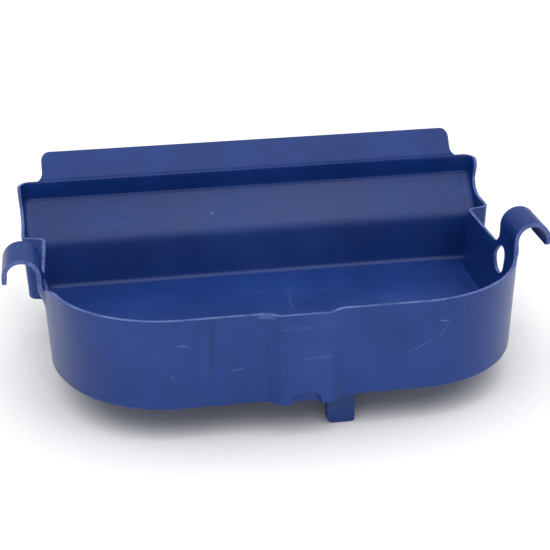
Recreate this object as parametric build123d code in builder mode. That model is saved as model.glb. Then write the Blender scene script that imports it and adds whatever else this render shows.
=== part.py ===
from build123d import *
import os
from copy import deepcopy
from math import atan2, cos, radians, sin, tan

os.makedirs("parts", exist_ok=True)

# Hook-on feed trough: one thin-walled moulding with a stepped back, two boxed-out
# cheeks, a rail hook on each end wall and a locating lug under the front.
# It is written as its moulded regions, which meet face to face on flat planes.
#
# Frame: +X along the trough, +Y to the back, +Z up. The origin is in the middle of
# the overall length and depth, at the level of the lug's lowest point.
# Heights below are above the floor's underside unless a comment says otherwise.

# ---- Moulding ----
wall = 3.0
draft = 2.5  # degrees that every upright wall leans outward
floor_thickness = 4.0
bottom_radius = 3.0  # between the floor and the upright walls, inside and outside

# ---- Trough, measured outside at the level of the floor's underside ----
trough_length = 417.0
end_wall_run = 240.0  # from the front wall to the step into the cheek
corner_lead = 91.3  # from the front wall to where the end wall turns inward
corner_lead_slant = 22.6  # degrees of that turn
corner_lead_radius = 115.0
front_corner_radius = 103.0
front_rim_height = 83.5
front_rim_level = 77.5  # length of the level rim behind the front wall
end_rim_height = 65.4

# ---- Cheeks: the end walls step outward in front of the stepped back ----
cheek_step = 19.8
step_slant = 14.0  # degrees that the step wall turns towards the back
step_inner_radius = 7.0
cheek_corner_radius = 5.0

# ---- Stepped back, along its front surface, from the foot upward ----
pocket_depth = 20.5  # from the step to the foot of the lower riser
lower_riser = (13.0, 43.0)  # depth and height of each stretch
ramp = (36.0, 32.0)
upper_riser = (-6.0, 20.6)
top_panel_rise = (18.0, 24.9)
roll_radius = 22.0
ramp_crease_radius = 5.0
panel_crease_radius = 5.0

# ---- Top panel outline ----
shoulder_length = 24.9  # level shoulder between the cheek's outer face and the top panel
top_corner_radius = 8.0
shoulder_fillet_radius = 8.0
shoulder_corner_radius = 3.5

# ---- Cheek flange: corners of its free edge, as depth and height from two creases ----
flange_start = 17.0  # depth in front of the ramp where the level rim ends
flange_from_ramp_crease = ((-21.0, -8.6), (-17.0, 2.3))
flange_from_panel_crease = ((-13.0, -7.6), (-8.6, 0.0))
flange_edge_radius = 6.0

# ---- Front bulge and the arched recess at its foot ----
bulge_width = 64.0
bulge_flank = 11.0
bulge_depth = 10.3  # at the foot: its face is upright, so it sinks into the wall higher up
bulge_foot_radius = 8.0
bulge_edge_radius = 6.0
recess_width = 25.0
recess_height = 12.0
recess_depth = 8.0
recess_radius = 6.0
bulge_foot_land = 5.0  # moulding kept around the recess backing in the foot of the bulge

# ---- Rail hooks ----
rail_radius = 13.0
hook_thickness = 3.8
hook_width = 44.0
hook_setback = 102.5  # from the front wall to the hook's front edge
hook_root_height = 71.0
rail_height = 85.3
hook_stand_off = 4.1  # how far the hook's leg leans out above its root
hook_tip_drop = 6.5
hook_tip_radius = 4.0
hook_run_out = 6.0  # slope of the rim from the hook's rear edge to the level rim
front_neck_height = 75.0

# ---- Oval cut-out under each hook ----
cutout_depth = 28.0
cutout_height = 29.0
cutout_neck = 17.5  # wall left in front of the cut-out, under the hook
cutout_land = 2.5  # wall left between the cut-out and the hook's root

# ---- Locating lug ----
lug_width = 25.0
lug_thickness = 8.0
lug_drop = 29.4
lug_offset = 32.5  # from the middle of the trough, to the right
lug_setback = 4.0  # behind the tangent line of the bottom radius
lug_corner_radius = 4.0

# ---- Places worked out from the sizes above ----
lean = tan(radians(draft))
half_length = trough_length / 2
half_cheek = half_length + cheek_step
top_height = floor_thickness + sum(
    stretch[1] for stretch in (lower_riser, ramp, upper_riser, top_panel_rise)
)
shoulder_height = top_height - top_panel_rise[1]
panel_angle = atan2(top_panel_rise[0], top_panel_rise[1])
back_reach = pocket_depth + sum(
    stretch[0] for stretch in (lower_riser, ramp, upper_riser, top_panel_rise)
)
overall_depth = bulge_depth + end_wall_run + back_reach + wall / cos(panel_angle)
front_y = bulge_depth - overall_depth / 2
step_y = front_y + end_wall_run
corner_y = front_y + front_rim_level
floor_z = lug_drop
pan_height = floor_thickness + bottom_radius + 2.0
beyond = 40.0  # how far cutting shapes run past the moulding
spare = 1.0  # how far the untrimmed moulding runs above the top panel
cheek_split = half_length - wall - 0.5
end_split_y = step_y - step_inner_radius - 1.0
lead_turn = radians(corner_lead_slant)
corner_x = half_length - corner_lead * tan(lead_turn)
hook_front_y = front_y + hook_setback
hook_rear_y = hook_front_y + hook_width
root_x = half_length + hook_root_height * lean
rail_x = root_x + hook_stand_off + rail_radius
rail_z = floor_z + rail_height


def outline(height, inset):
    """Plan of the trough and cheeks at a height, moved inward by inset."""
    grow = height * lean - inset
    slope = tan(radians(step_slant))
    slant_grow = grow / cos(radians(step_slant))
    end_x = half_length + grow
    cheek_x = half_cheek + grow
    front = front_y - grow
    standing = bulge_depth - height * lean
    shift = -inset * tan(atan2(standing, bulge_flank) / 2)
    corner = corner_x + grow * (1 - sin(lead_turn)) / cos(lead_turn)
    corners = [
        (cheek_x, step_y + back_reach + beyond, cheek_corner_radius + grow),
        (cheek_x, step_y + (cheek_step + grow) * slope - slant_grow, cheek_corner_radius + grow),
        (end_x, step_y + grow * slope - slant_grow, step_inner_radius - grow),
        (end_x, front_y + corner_lead - grow * tan(lead_turn / 2), corner_lead_radius + grow),
        (corner, front, front_corner_radius + grow),
        (bulge_width / 2 + shift, front, bulge_foot_radius + inset),
        (bulge_width / 2 - bulge_flank + shift, front - standing, bulge_edge_radius - inset),
    ]
    mirrored = [(-x, y, radius) for x, y, radius in reversed(corners)]
    loop = corners + mirrored
    points = [(x, y) for x, y, radius in loop]
    radii = [radius for x, y, radius in loop]
    return points, radii


def back_stations():
    """Depth and height of each corner along the front surface of the stepped back."""
    y = step_y + pocket_depth
    z = floor_z + floor_thickness
    stations = [(y, z)]
    for depth, rise in (lower_riser, ramp, upper_riser, top_panel_rise):
        y += depth
        z += rise
        stations.append((y, z))
    return stations


def form(inset, base):
    """Solid inside one skin of the moulding: inset 0 is the outer skin."""
    top = top_height + spare
    foot, roll, crease, lip, edge = back_stations()
    riser_slope = lower_riser[0] / lower_riser[1]
    panel_slope = top_panel_rise[0] / top_panel_rise[1]
    with BuildPart() as body:
        for height in (base, top):
            points, radii = outline(height, inset)
            with BuildSketch(Plane.XY.offset(floor_z + height)):
                with BuildLine():
                    FilletPolyline(*points, radius=radii, close=True)
                make_face()
        loft(ruled=True)
        with BuildSketch(Plane.YZ.offset(-half_cheek - beyond)):
            with BuildLine():
                front = FilletPolyline(
                    (foot[0] - riser_slope * beyond, foot[1] - beyond),
                    roll,
                    crease,
                    lip,
                    (edge[0] + panel_slope * 2 * beyond, edge[1] + 2 * beyond),
                    radius=[roll_radius, ramp_crease_radius, panel_crease_radius],
                )
                far_y = step_y + back_reach + 3 * beyond
                Polyline(front @ 1, (far_y, (front @ 1).Y), (far_y, (front @ 0).Y), front @ 0)
            make_face()
            offset(amount=inset - wall, kind=Kind.INTERSECTION)
        extrude(amount=2 * (half_cheek + beyond), mode=Mode.SUBTRACT)
        side_edges = [
            edge
            for edge in body.edges().filter_by_position(Axis.Y, foot[0], far_y)
            if abs(edge.center().X) > half_cheek - wall - spare
            and abs(edge.tangent_at(0.5).X) < 0.5
            and floor_z + base < edge.center().Z < floor_z + top
        ]
        base_edges = body.edges().group_by(Axis.Z)[0]
        edge_limit = bulge_edge_radius - inset  # the bulge's upright edges bound the bottom fillet
        fillet(base_edges + side_edges, min(bottom_radius, edge_limit))
    return body.part


def cut_out(*cuts):
    """Region of the moulding left by cuts, each a plane and the side of it to keep."""
    with BuildPart() as kept:
        add(deepcopy(moulding.part))
        for plane, keep in cuts:
            split(bisect_by=plane, keep=keep)
    return kept


def save(piece, label):
    """Names a finished piece and writes it out."""
    piece.part.label = label
    export_step(piece.part, f"parts/{label}.step")


outer_form = form(0, 0)
inner_form = form(wall, floor_thickness)

# ---- The whole moulding, before it is divided into its regions ----
foot, roll, crease, lip, edge = back_stations()
ramp_slope = ramp[0] / ramp[1]
rim_end_y = roll[0] + (floor_z + end_rim_height - roll[1]) * ramp_slope - flange_start
rim_line = [
    (front_y - beyond, floor_z + front_rim_height),
    (corner_y, floor_z + front_rim_height),
    (hook_front_y - hook_run_out, floor_z + front_neck_height),
    (hook_front_y, floor_z + hook_root_height),
    (hook_rear_y, floor_z + hook_root_height),
    (hook_rear_y + hook_run_out, floor_z + end_rim_height),
]
flange_line = [(rim_end_y, floor_z + end_rim_height)]
flange_line += [(crease[0] + depth, crease[1] + rise) for depth, rise in flange_from_ramp_crease]
flange_line += [(lip[0] + depth, lip[1] + rise) for depth, rise in flange_from_panel_crease]
flange_top = flange_line[-1]
shoulder_x = half_cheek + shoulder_height * lean
top_panel_x = shoulder_x - shoulder_length
recess_face_y = front_y - bulge_depth + recess_depth

# A block behind the recess keeps the wall's thickness around it.
with BuildPart() as recess_backing:
    with BuildSketch(Plane.XZ.offset(-recess_face_y - wall)) as backing_outline:
        with Locations((0, floor_z)):
            Rectangle(
                recess_width + 2 * wall,
                recess_height + wall,
                align=(Align.CENTER, Align.MIN),
            )
        fillet(backing_outline.vertices().group_by(Axis.Z)[-1], recess_radius)
    extrude(amount=recess_depth + wall + bulge_depth)
    add(outer_form, mode=Mode.INTERSECT)

with BuildPart() as moulding:
    add(outer_form)
    add(inner_form, mode=Mode.SUBTRACT)
    add(recess_backing.part)
    # arched recess at the foot of the bulge, open downward and to the front
    with BuildSketch(Plane.XZ.offset(-recess_face_y)) as recess_outline:
        with Locations((0, floor_z + recess_height)):
            Rectangle(recess_width, recess_height + beyond, align=(Align.CENTER, Align.MAX))
        fillet(recess_outline.vertices().group_by(Axis.Z)[-1], recess_radius)
    extrude(amount=beyond, mode=Mode.SUBTRACT)
    # rim of the front and end walls, and the free edge of the cheek flanges
    with BuildSketch(Plane.YZ.offset(-half_cheek - beyond)):
        with BuildLine():
            rim = Polyline(*rim_line)
            flange = FilletPolyline(rim @ 1, *flange_line, radius=flange_edge_radius)
            Polyline(
                flange @ 1,
                (flange_top[0], flange_top[1] + beyond),
                (rim_line[0][0], flange_top[1] + beyond),
                rim @ 0,
            )
        make_face()
    extrude(amount=2 * (half_cheek + beyond), mode=Mode.SUBTRACT)
    # oval cut-outs through both end walls
    cutout_y = hook_front_y + cutout_neck + cutout_depth / 2
    cutout_z = floor_z + hook_root_height - cutout_land - cutout_height / 2
    with BuildSketch(Plane.YZ.offset(-half_cheek)):
        with Locations((cutout_y, cutout_z)):
            Ellipse(cutout_depth / 2, cutout_height / 2)
    extrude(amount=2 * half_cheek, mode=Mode.SUBTRACT)
    # shoulders and top panel, seen from the front
    with BuildSketch(Plane.XZ.offset(front_y)):
        with BuildLine():
            right_outline = [
                (shoulder_x, floor_z - beyond, 0),
                (shoulder_x, lip[1], shoulder_corner_radius),
                (top_panel_x, lip[1], shoulder_fillet_radius),
                (top_panel_x, edge[1], top_corner_radius),
            ]
            full_outline = right_outline + [(-x, z, r) for x, z, r in reversed(right_outline)]
            FilletPolyline(
                *[(x, z) for x, z, r in full_outline],
                radius=[r for x, z, r in full_outline],
                close=True,
            )
        make_face()
    extrude(amount=2 * overall_depth, both=True, mode=Mode.INTERSECT)

# ---- Planes between the regions ----
pan_plane = Plane.XY.offset(floor_z + pan_height)
shoulder_plane = Plane.XY.offset(lip[1])
corner_plane = Plane.XZ.offset(-corner_y)
end_plane = Plane.XZ.offset(-end_split_y)

above_pan = (pan_plane, Keep.TOP)
below_shoulder = (shoulder_plane, Keep.BOTTOM)
behind_end = (end_plane, Keep.BOTTOM)

# the foot of the bulge, with the arched recess and its backing
with BuildPart() as foot_block:
    foot_rear_y = recess_face_y + wall + bulge_foot_land
    foot_top_z = floor_z + recess_height + wall + bulge_foot_land
    with Locations((0, foot_rear_y, foot_top_z)):
        Box(
            recess_width + 2 * (wall + bulge_foot_land),
            beyond,
            beyond,
            align=(Align.CENTER, Align.MAX, Align.MAX),
        )

with BuildPart() as bulge_foot:
    add(deepcopy(moulding.part))
    add(foot_block.part, mode=Mode.INTERSECT)
save(bulge_foot, "bulge_foot")

with BuildPart() as floor_pan:
    add(cut_out((pan_plane, Keep.BOTTOM)).part)
    add(foot_block.part, mode=Mode.SUBTRACT)
save(floor_pan, "floor_pan")

with BuildPart() as front_wall:
    add(cut_out(above_pan, (corner_plane, Keep.TOP)).part)
    add(foot_block.part, mode=Mode.SUBTRACT)
save(front_wall, "front_wall")

back_panel = cut_out(
    above_pan,
    below_shoulder,
    behind_end,
    (Plane.YZ.offset(cheek_split), Keep.BOTTOM),
    (Plane.YZ.offset(-cheek_split), Keep.TOP),
)
save(back_panel, "back_panel")

top_panel = cut_out((shoulder_plane, Keep.TOP))
save(top_panel, "top_panel")

for side, hand in ((1, "right"), (-1, "left")):
    outward = Keep.TOP if side > 0 else Keep.BOTTOM

    end_wall = cut_out(
        above_pan,
        (corner_plane, Keep.BOTTOM),
        (end_plane, Keep.TOP),
        (Plane.YZ, outward),
    )
    save(end_wall, f"{hand}_end_wall")

    cheek = cut_out(
        above_pan,
        below_shoulder,
        behind_end,
        (Plane.YZ.offset(side * cheek_split), outward),
    )
    save(cheek, f"{hand}_cheek")

    with BuildPart() as rail_hook:
        near_x = side * (rail_x - rail_radius)
        far_x = side * (rail_x + rail_radius)
        band = side * hook_thickness
        tip_z = rail_z - hook_tip_drop
        root_z = floor_z + hook_root_height
        with BuildSketch(Plane.XZ.offset(-hook_rear_y)):
            with BuildLine():
                Polyline((side * root_x, root_z), (near_x, rail_z))
                ThreePointArc(
                    (near_x, rail_z),
                    (side * rail_x, rail_z + rail_radius),
                    (far_x, rail_z),
                )
                Polyline(
                    (far_x, rail_z),
                    (far_x, tip_z),
                    (far_x + band, tip_z),
                    (far_x + band, rail_z),
                )
                ThreePointArc(
                    (far_x + band, rail_z),
                    (side * rail_x, rail_z + rail_radius + hook_thickness),
                    (near_x - band, rail_z),
                )
                Polyline(
                    (near_x - band, rail_z),
                    (side * (root_x - wall), root_z),
                    (side * root_x, root_z),
                )
            make_face()
        extrude(amount=hook_width)
        tip_corners = rail_hook.edges().filter_by(Axis.X).filter_by_position(
            Axis.Z, tip_z - spare, tip_z + spare
        )
        fillet(tip_corners, hook_tip_radius)
    save(rail_hook, f"{hand}_rail_hook")

with BuildPart() as locating_lug:
    lug_front_y = front_y + bottom_radius + lug_setback
    with BuildSketch(Plane.XZ.offset(-lug_front_y - lug_thickness)) as lug_outline:
        with Locations((lug_offset, floor_z)):
            Rectangle(lug_width, lug_drop, align=(Align.CENTER, Align.MAX))
        fillet(lug_outline.vertices().group_by(Axis.Z)[0], lug_corner_radius)
    extrude(amount=lug_thickness)
save(locating_lug, "locating_lug")
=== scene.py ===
"""Studio scene of a hook-on feed trough, one knife-trimmed polyethylene moulding."""

import logging
import math
from dataclasses import dataclass
from enum import Enum
from typing import Any, Optional, Sequence

import bmesh
import bpy
import numpy as np
from mathutils import Matrix, Vector


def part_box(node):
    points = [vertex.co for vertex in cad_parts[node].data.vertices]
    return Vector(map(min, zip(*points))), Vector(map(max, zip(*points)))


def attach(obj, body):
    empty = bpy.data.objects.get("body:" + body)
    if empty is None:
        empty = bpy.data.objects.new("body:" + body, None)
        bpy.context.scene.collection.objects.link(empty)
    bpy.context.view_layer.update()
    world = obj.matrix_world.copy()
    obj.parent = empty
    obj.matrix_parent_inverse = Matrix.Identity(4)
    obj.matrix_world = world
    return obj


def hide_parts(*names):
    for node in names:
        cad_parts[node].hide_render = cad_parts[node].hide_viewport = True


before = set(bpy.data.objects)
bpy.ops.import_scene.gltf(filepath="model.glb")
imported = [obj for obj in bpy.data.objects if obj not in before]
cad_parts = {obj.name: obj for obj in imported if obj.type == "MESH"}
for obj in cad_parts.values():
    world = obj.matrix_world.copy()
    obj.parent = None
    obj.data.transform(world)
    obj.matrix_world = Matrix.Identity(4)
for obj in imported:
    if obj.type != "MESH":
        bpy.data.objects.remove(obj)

log = logging.getLogger("feed_trough")

MM = 0.001
BODY = "root"
POLYETHYLENE_IOR = 1.51
BEYOND = 20.0  # mm that a cutting block reaches past what it cuts
LEAST_SHARE = 0.1  # keeps a division by a sine or cosine finite
QUARTER_TURN = np.radians((0.0, 22.5, 45.0, 67.5, 90.0))


class Side(Enum):
    """The two ends of the trough, as the sign of X."""

    RIGHT = 1
    LEFT = -1


class Face(Enum):
    """Material index of a face of the moulding."""

    MOULDED = 0
    TRIMMED = 1


# --------------------------------------------------------------------------------------
# Small helpers
# --------------------------------------------------------------------------------------


def linear(code: str) -> tuple[float, float, float, float]:
    """Turns an sRGB hex colour into linear RGBA.

    Args:
        code: The colour as "#rrggbb".

    Returns:
        Linear red, green and blue, and an alpha of 1.
    """
    channels = [int(code[place : place + 2], 16) / 255 for place in (1, 3, 5)]
    red, green, blue = (
        value / 12.92 if value <= 0.04045 else ((value + 0.055) / 1.055) ** 2.4 for value in channels
    )
    return red, green, blue, 1.0


def ease(low: float, high: float, value: Any) -> Any:
    """Eased step from 0 at low to 1 at high.

    Args:
        low: Where the step starts.
        high: Where the step ends.
        value: A number or an array.

    Returns:
        The step at value, of the same shape.
    """
    share = np.clip((np.asarray(value, float) - low) / (high - low), 0.0, 1.0)
    return share * share * (3 - 2 * share)


def add_node(
    tree: bpy.types.NodeTree,
    kind: str,
    settings: Optional[dict[str, Any]] = None,
    links: Optional[dict[Any, Any]] = None,
) -> bpy.types.Node:
    """Adds a node with its settings and links.

    Args:
        tree: The tree that gets the node.
        kind: The node's type name.
        settings: Values for the node's own properties.
        links: For each input, by name or index, the socket that feeds it or its value.

    Returns:
        The new node.
    """
    node = tree.nodes.new(kind)
    for name, value in (settings or {}).items():
        setattr(node, name, value)
    for name, value in (links or {}).items():
        if isinstance(value, bpy.types.NodeSocket):
            tree.links.new(value, node.inputs[name])
        else:
            node.inputs[name].default_value = value
    return node


def reckon(tree: bpy.types.NodeTree, operation: str, first: Any, second: Any = 0.0) -> bpy.types.NodeSocket:
    """Adds one step of arithmetic on sockets or numbers, and gives its result."""
    return add_node(tree, "ShaderNodeMath", {"operation": operation}, {0: first, 1: second}).outputs[0]


def noise(tree: bpy.types.NodeTree, place: Any, grain: float, detail: float = 2.0, **more: Any) -> Any:
    """Adds a noise with a real grain.

    Args:
        tree: The material's tree.
        place: The coordinates.
        grain: Size of its grain in mm.
        detail: How many finer layers it has.
        more: Other inputs of the node.

    Returns:
        The noise node's outputs.
    """
    links = {"Vector": place, "Scale": 1 / (grain * MM), "Detail": detail, **more}
    return add_node(tree, "ShaderNodeTexNoise", None, links).outputs


def rescale(
    tree: bpy.types.NodeTree,
    value: bpy.types.NodeSocket,
    span: Sequence[float],
    result: Sequence[float] = (0.0, 1.0),
) -> bpy.types.NodeSocket:
    """Stretches a span of values to another one and holds it at the ends.

    Args:
        tree: The material's tree.
        value: The value.
        span: Where it starts and ends.
        result: What the two ends become.

    Returns:
        The stretched value.
    """
    ends = dict(zip(("From Min", "From Max", "To Min", "To Max"), (*span, *result)))
    return add_node(tree, "ShaderNodeMapRange", None, {"Value": value, **ends}).outputs[0]


def blend(tree: bpy.types.NodeTree, share: Any, under: Any, over: Any) -> bpy.types.NodeSocket:
    """Lays one colour over another by a share."""
    return add_node(tree, "ShaderNodeMix", {"data_type": "RGBA"}, {0: share, 6: under, 7: over}).outputs[2]


def relief(
    tree: bpy.types.NodeTree, height: bpy.types.NodeSocket, strength: float, depth: float, **more: Any
) -> bpy.types.NodeSocket:
    """Adds a bump.

    Args:
        tree: The material's tree.
        height: The height pattern.
        strength: How strongly it shows.
        depth: Its depth in mm.
        more: Other inputs of the node.

    Returns:
        The bent normal.
    """
    links = {"Height": height, "Strength": strength, "Distance": depth * MM, **more}
    return add_node(tree, "ShaderNodeBump", None, links).outputs["Normal"]


def start_material(name: str) -> tuple[bpy.types.Material, bpy.types.Node, bpy.types.NodeSocket]:
    """Makes a material, and gives it with its shader and its object coordinates."""
    material = bpy.data.materials.new(name)
    material.use_nodes = True
    place = add_node(material.node_tree, "ShaderNodeTexCoord").outputs["Object"]
    return material, material.node_tree.nodes["Principled BSDF"], place


def start_tree(name: str, inputs: dict[str, str], output: str) -> tuple[bpy.types.NodeTree, Any]:
    """Makes a geometry tree with named inputs.

    Args:
        name: The tree's name.
        inputs: Name and kind of each input.
        output: Name of the geometry that it gives.

    Returns:
        The tree, and the sockets that carry its inputs.
    """
    tree = bpy.data.node_groups.new(name, "GeometryNodeTree")
    for label, kind in inputs.items():
        tree.interface.new_socket(label, in_out="INPUT", socket_type="NodeSocket" + kind)
    tree.interface.new_socket(output, in_out="OUTPUT", socket_type="NodeSocketGeometry")
    return tree, add_node(tree, "NodeGroupInput").outputs


def paint(tree: bpy.types.NodeTree, geometry: Any, material: Any, **more: Any) -> bpy.types.NodeSocket:
    """Sets the material of a tree's geometry, or of a selection of its faces."""
    links = {"Geometry": geometry, "Material": material, **more}
    return add_node(tree, "GeometryNodeSetMaterial", None, links).outputs[0]


def corner_arc(
    before: Sequence[float], corner: Sequence[float], after: Sequence[float], radius: float, steps: int
) -> np.ndarray:
    """Points along the arc that rounds a corner.

    Args:
        before: A point on the line into the corner.
        corner: The corner itself.
        after: A point on the line out of the corner.
        radius: Radius of the arc.
        steps: Number of steps along it.

    Returns:
        An array of steps + 1 points, from one tangent point to the other.
    """
    middle = np.asarray(corner, float)
    into = np.asarray(before, float) - middle
    out = np.asarray(after, float) - middle
    into /= np.hypot(*into)
    out /= np.hypot(*out)
    half = math.acos(float(np.clip(into @ out, -1.0, 1.0))) / 2
    bisector = (into + out) / np.hypot(*(into + out))
    centre = middle + bisector * radius / math.sin(half)
    first = middle + into * radius / math.tan(half) - centre
    last = middle + out * radius / math.tan(half) - centre
    sweep = math.atan2(first[0] * last[1] - first[1] * last[0], float(first @ last))
    turns = np.linspace(0.0, sweep, steps + 1)
    return np.stack(
        [
            centre[0] + first[0] * np.cos(turns) - first[1] * np.sin(turns),
            centre[1] + first[0] * np.sin(turns) + first[1] * np.cos(turns),
        ],
        axis=1,
    )


def run(start: Sequence[float], end: Sequence[float], steps: int) -> np.ndarray:
    """Evenly spaced points from start up to, but without, end.

    Args:
        start: First point.
        end: Point that the run stops short of.
        steps: Number of points.

    Returns:
        An array of steps points.
    """
    return np.linspace(start, end, steps, endpoint=False)


def link_object(name: str, data: bpy.types.ID) -> bpy.types.Object:
    """Makes an object from its data and links it to the scene."""
    item = bpy.data.objects.new(name, data)
    bpy.context.scene.collection.objects.link(item)
    return item


def bake(item: bpy.types.Object) -> None:
    """Replaces an object's mesh by its evaluated mesh and removes its modifiers.

    Args:
        item: The object to bake.
    """
    bpy.context.view_layer.update()
    graph = bpy.context.evaluated_depsgraph_get()
    baked = bpy.data.meshes.new_from_object(item.evaluated_get(graph))
    item.modifiers.clear()
    item.data = baked


def run_tree(item: bpy.types.Object, tree: bpy.types.NodeTree, sizes: dict[str, Any]) -> None:
    """Runs a geometry tree on an object and keeps the result as its plain mesh.

    Args:
        item: The object.
        tree: The tree.
        sizes: Value of each of its inputs, by name.
    """
    modifier = item.modifiers.new(tree.name, "NODES")
    modifier.node_group = tree
    for socket in tree.interface.items_tree:
        if socket.in_out == "INPUT" and socket.name in sizes:
            modifier[socket.identifier] = sizes[socket.name]
    bake(item)


def to_mesh(body: bmesh.types.BMesh, name: str) -> bpy.types.Mesh:
    """Turns a working mesh into a new mesh and frees it."""
    mesh = bpy.data.meshes.new(name)
    body.to_mesh(mesh)
    body.free()
    return mesh


def prism(outline: Sequence[tuple[float, float]], front: float, rear: float) -> bmesh.types.BMesh:
    """Closed block between two depths.

    Args:
        outline: X and Z of its corners, in mm.
        front: Depth of its front in mm.
        rear: Depth of its rear in mm.

    Returns:
        The working mesh.
    """
    body = bmesh.new()
    near = [body.verts.new((x * MM, front * MM, z * MM)) for x, z in outline]
    far = [body.verts.new((x * MM, rear * MM, z * MM)) for x, z in outline]
    body.faces.new(near)
    body.faces.new(far[::-1])
    for index in range(len(outline)):
        after = (index + 1) % len(outline)
        body.faces.new([near[index], far[index], far[after], near[after]])
    bmesh.ops.recalc_face_normals(body, faces=body.faces)
    return body


def round_edges(
    body: bmesh.types.BMesh,
    edges: list[bmesh.types.BMEdge],
    width: float,
    segments: int,
    profile: float,
    face: Face,
) -> None:
    """Rounds edges of a working mesh.

    Args:
        body: The working mesh.
        edges: The edges.
        width: Width of the rounding in mm.
        segments: Number of faces across it.
        profile: Its fullness, 0.5 for a round one.
        face: What its faces are made of.
    """
    bmesh.ops.bevel(
        body,
        geom=edges,
        offset=width * MM,
        offset_type="OFFSET",
        segments=segments,
        profile=profile,
        affect="EDGES",
        clamp_overlap=True,
        material=face.value,
    )


def smooth_by_angle(mesh: bpy.types.Mesh, degrees: float) -> None:
    """Shades a mesh smooth, and keeps edges sharper than an angle crisp."""
    mesh.polygons.foreach_set("use_smooth", [True] * len(mesh.polygons))
    mesh.set_sharp_from_angle(angle=math.radians(degrees))


def present(item: bpy.types.Object) -> None:
    """Ties a finished piece to the model, and reports it.

    Args:
        item: The finished piece.
    """
    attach(item, BODY)
    item.data.calc_loop_triangles()
    log.info("%s: %d triangles", item.name, len(item.data.loop_triangles))


# --------------------------------------------------------------------------------------
# Finishes
# --------------------------------------------------------------------------------------


@dataclass(frozen=True)
class Mark:
    """One scuff or scratch, or a painted shade line. Sizes in mm, turn in degrees from X towards Z."""

    middle: tuple[float, float, float]
    half: tuple[float, float, float]
    turn: float = 0.0
    colour: str = "#7c92c0"
    strength: float = 0.5
    wander: float = 0.0


WEAR_AND_SINK_SHADE = (
    # painted shade: this dark vertical line stands for the shade of a shallow sink line on the front wall;
    # the other marks are scratches, scuffs and a pale fleck
    Mark((-77.0, -159.0, 86.0), (3.2, 6.0, 36.0), turn=-3.0, colour="#0b2258", strength=0.6, wander=2.0),
    Mark((-30.0, -160.0, 112.0), (12.0, 7.0, 3.0), strength=0.2, wander=5.0),
    Mark((118.0, -159.0, 93.5), (7.0, 8.0, 0.7), turn=-14.0, strength=0.35, wander=2.0),
    Mark((119.0, -159.0, 85.0), (9.0, 8.0, 0.6), turn=60.0, strength=0.22, wander=4.0),
    Mark((98.0, -159.0, 71.0), (20.0, 8.0, 0.6), turn=26.0, strength=0.2, wander=6.0),
    Mark((-101.0, -159.0, 89.0), (7.0, 8.0, 1.0), turn=-10.0, strength=0.2, wander=6.0),
    Mark((-111.0, -159.0, 61.0), (9.0, 8.0, 0.6), turn=-55.0, strength=0.16, wander=6.0),
    Mark((-57.0, -159.0, 64.0), (10.0, 8.0, 1.2), turn=20.0, strength=0.16, wander=8.0),
    Mark((-42.0, 131.0, 90.0), (1.6, 3.0, 0.8), strength=0.8),
    Mark((20.0, 30.0, 33.0), (1.0, 26.0, 6.0), strength=0.14, wander=7.0),
    Mark((60.0, 50.0, 33.0), (14.0, 1.0, 6.0), strength=0.12, wander=8.0),
)


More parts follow.
